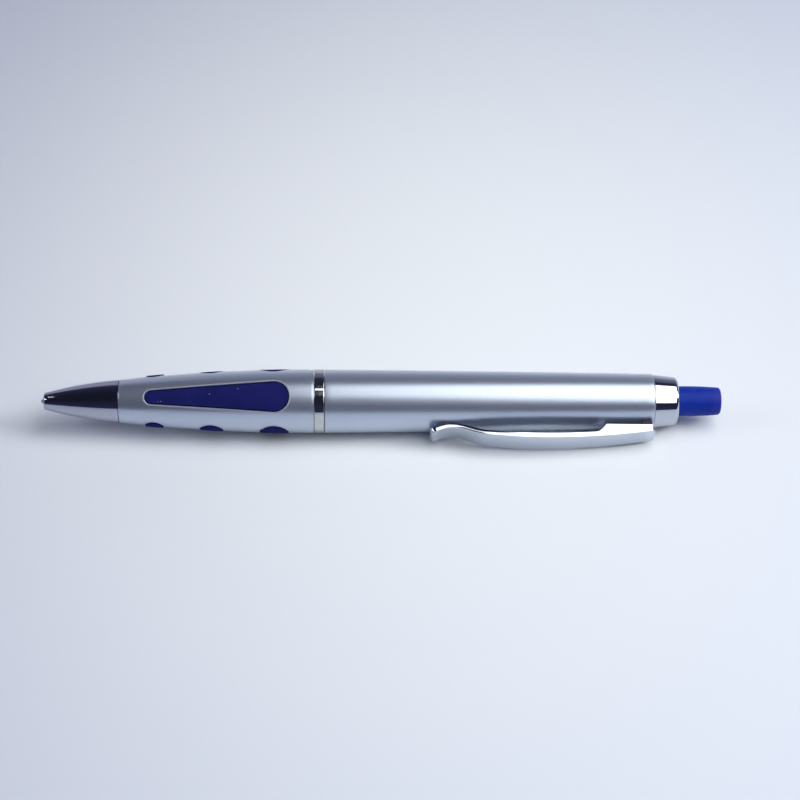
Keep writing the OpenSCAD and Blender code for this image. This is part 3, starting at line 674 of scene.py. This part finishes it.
clip = clip_blade()
soften(clip, 0.42, 40, 6)
foot = lug(CLIP_S + FOOT_AT, 2, 2.0, BLOCK_R - 0.45, BLOCK_R + 0.1)
soften(foot, 0.25, 40, 3, lambda e: max(v.co.x for v in e.verts) < BLOCK_R)
tongue = lug(CLIP_S + FOOT_AT + 0.05, 1.9, 1.6, CAM_R, BLOCK_R)
# The foot and tongue take a dark reddish finish instead of the clip's chrome: painted shade with a painted reddish
# reflection where the foot meets the barrel
for face in foot.faces[:] + tongue.faces[:]:
    face.material_index = 1
pocket_clip = finish_piece("clip_chrome", joined(clip, foot, tongue), "chrome_plate", "pen", "clip", CLIP_CHROME_PAINTED_LIGHT)
pocket_clip.data.materials.append(metal("clip_foot_painted_shade", (0.045, 0.025, 0.035), 0.3))


# Writing point, whose ball stands out of the nose, and the socket round the ball
BALL_R, POINT_OUT = 0.35, 0.6
BALL_S = BALL_R - POINT_OUT
SHANK_R, SHANK_END_S, INK_BORE_R = 1.1, 11.8, 0.2
point = spun([(0.34, BALL_S - 0.117), (0.40, BALL_S - 0.117), (0.44, BALL_S - 0.085), (SHANK_R, BALL_S + 1.383),
              (SHANK_R, SHANK_END_S), (INK_BORE_R, SHANK_END_S), (INK_BORE_R, BALL_S + 0.44),
              (0.36, BALL_S + 0.175), (0.36, BALL_S)], 64)
finish_piece("writing_tip_metal", point, "nickel_silver", "refill", "writing_tip")
ball = spun([(BALL_R * math.sin(a), BALL_S - BALL_R * math.cos(a)) for a in stations(0, math.pi, 16)], 48, False)
finish_piece("tip_ball_ground", ball, "carbide", "refill", "tip_ball")


# Return spring: the first and last turns lie almost closed; it is drawn at rest, and nothing here shortens it as the
# button goes in
WIRE_R, COIL_R, TURNS, PRESS = 0.2, 2.1, 8, 5


def coil():
    closed = 2.1 * WIRE_R
    open_pitch = (SHOULDER_S - SEAT_S - 2 * WIRE_R - 2 * closed) / (TURNS - 2)
    line = []
    for n in stations(0, TURNS, TURNS * 28):
        rise = min(n, 1) * closed + max(min(n - 1, TURNS - 2), 0) * open_pitch + max(n - TURNS + 1, 0) * closed
        line.append((COIL_R * math.cos(2 * math.pi * n), COIL_R * math.sin(2 * math.pi * n), SEAT_S + WIRE_R + rise))
    return wire(line, WIRE_R)


spring = finish_piece("return_spring_coil", coil(), "spring_steel", "refill", "return_spring")
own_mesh(spring)


# Pieces inside the pen keep their solids and take their own finish
INSIDE = {"grip_liner": "clear_plastic", "cam_sleeve": "white_plastic", "cam_plunger": "white_plastic",
          "cam_rotor": "white_plastic", "refill_tube": "clear_plastic", "gel_ink": "blue_gel",
          "ink_follower": "pale_grease", "tail_plug": "white_plastic", "tip_holder": "white_plastic"}
for node, slot in INSIDE.items():
    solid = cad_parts[node]
    solid.data.materials.clear()
    solid.data.materials.append(FINISHES[slot])


# Table: a plain floor with painted light falloff, painted palest around the pen and darker and bluer towards the
# corners, as a painted pool of the lamps' light
FALL_X, FALL_Y = 60.0, 30.0
PALE, BLUISH = (0.852, 0.898, 0.93), (0.513, 0.564, 0.7)


def table_top():
    bm = bmesh.new()
    bmesh.ops.create_grid(bm, x_segments=1, y_segments=1, size=4)
    f = Finish("table_top")
    parts = f.tree.nodes.new("ShaderNodeSeparateXYZ")
    f.feed(parts.inputs[0], f.shifted((0, -0.04, 0)))
    x, y = Wire(f, parts.outputs[0]), Wire(f, parts.outputs[1])
    # Painted light falloff: the table's colour darkens and turns bluer away from the pen
    painted_falloff = 1 - f.node("ShaderNodeMath", {"operation": "EXPONENT"}, (x * x * FALL_X + y * y * FALL_Y) * -1.0)
    staged("table_top", bm, f.surface(Base_Color=f.mix(painted_falloff, PALE, BLUISH), Roughness=0.6, Specular_IOR_Level=0.2,
                                      Normal=f.bump(f.noise(900, 2, 0.5), 0.00001, 0.3)))


def staged(name, bm, material):
    """A part of the set, which isn't part of the pen."""
    piece = held(bm, name)
    piece.data.materials.append(material)
    return piece


# Lamps: outlines of the panels in metres, seen from above
LAMP_H, LAMP_WHITE = 0.5, (1.0, 1.0, 0.985)
NEAR_PANEL = [(-0.02, -0.085), (0.003, -0.085), (0.003, -0.255), (0.05, -0.335), (0.05, 0.104), (0.029, 0.088),
              (0.003, 0.08), (0.003, -0.022), (-0.02, -0.022)]
MAIN_PANEL = [(0.05, -0.335), (0.072, -0.374), (0.136, -0.493), (0.207, -0.629), (0.45, -0.78), (0.5, -0.78),
              (0.5, 0.3), (0.45, 0.3), (0.26, 0.25), (0.155, 0.2), (0.061, 0.115), (0.05, 0.104)]
RIGHT_PANEL = [(0.55, -0.24), (1.3, -0.24), (1.3, 0.08), (0.55, 0.08)]
LEFT_PANEL = [(-1.4, -0.24), (-0.5, -0.24), (-0.5, 0.08), (-1.4, 0.08)]
LEFT_WALL = [(-1.0, 0.6, 0.0), (-0.13, 0.6, 0.0), (-0.13, 0.6, 0.46), (-1.0, 0.6, 0.46)]


def glow(name, corners, colour, strength):
    """A flat light on the given corners, lit on both sides and unseen by the camera."""
    bm = bmesh.new()
    bm.faces.new([bm.verts.new(c) for c in corners])
    f = Finish(name)
    light = f.node("ShaderNodeEmission", None, colour, strength)
    f.tree.links.new(light.socket, f.tree.nodes["Material Output"].inputs[0])
    staged(name, bm, f.holder).visible_camera = False


def soft_panel(name, outline, strength, colour=LAMP_WHITE):
    """A big soft lamp above the table."""
    glow(name, [(x, y, LAMP_H) for x, y in outline], colour, strength)


def lamp(name, place, size, power):
    data = bpy.data.lights.new(name, "AREA")
    data.shape, data.size, data.size_y, data.energy = "RECTANGLE", *size, power
    light = bpy.data.objects.new(name, data)
    light.location = place
    bpy.context.scene.collection.objects.link(light)


# Brightness of the room by angle, from the back horizon over the top to the front one
ROOM = [(0, (0.66, 0.69, 0.76)), (10, (0.60, 0.63, 0.70)), (19, (0.30, 0.32, 0.41)), (28, (0.2, 0.215, 0.3)),
        (40, (0.16, 0.17, 0.25)), (48, (0.04, 0.044, 0.085)), (72, (0.024, 0.026, 0.056)),
        (95, (0.017, 0.018, 0.032)), (130, (0.016, 0.017, 0.032)), (180, (0.035, 0.04, 0.085))]


def room():
    world = bpy.data.worlds.new("room")
    bpy.context.scene.world = world
    f = Finish("room", world)
    way = f.tree.nodes.new("ShaderNodeSeparateXYZ")
    f.feed(way.inputs[0], f.node("ShaderNodeTexCoord", out=0))
    y, z = Wire(f, way.outputs[1]), Wire(f, way.outputs[2])
    angle = f.node("ShaderNodeMath", {"operation": "ARCTAN2"}, z, y) / math.pi
    shade = f.node("ShaderNodeValToRGB", {"stops": [(a / 180, colour) for a, colour in ROOM]}, angle)
    f.feed(f.tree.nodes["Background"].inputs[0], shade)


table_top()
soft_panel("near_panel", NEAR_PANEL, 2.1)
soft_panel("main_panel", MAIN_PANEL, 2.7)
soft_panel("right_panel", RIGHT_PANEL, 12.5)
soft_panel("left_panel", LEFT_PANEL, 3.2, (0.95, 0.93, 1.22))
glow("left_wall", LEFT_WALL, (0.9, 0.88, 1.08), 0.5)
lamp("nose_light", (-0.39, 0.05, LAMP_H), (0.02, 0.16), 0.012)
room()
bpy.context.scene.view_settings.view_transform = "Standard"
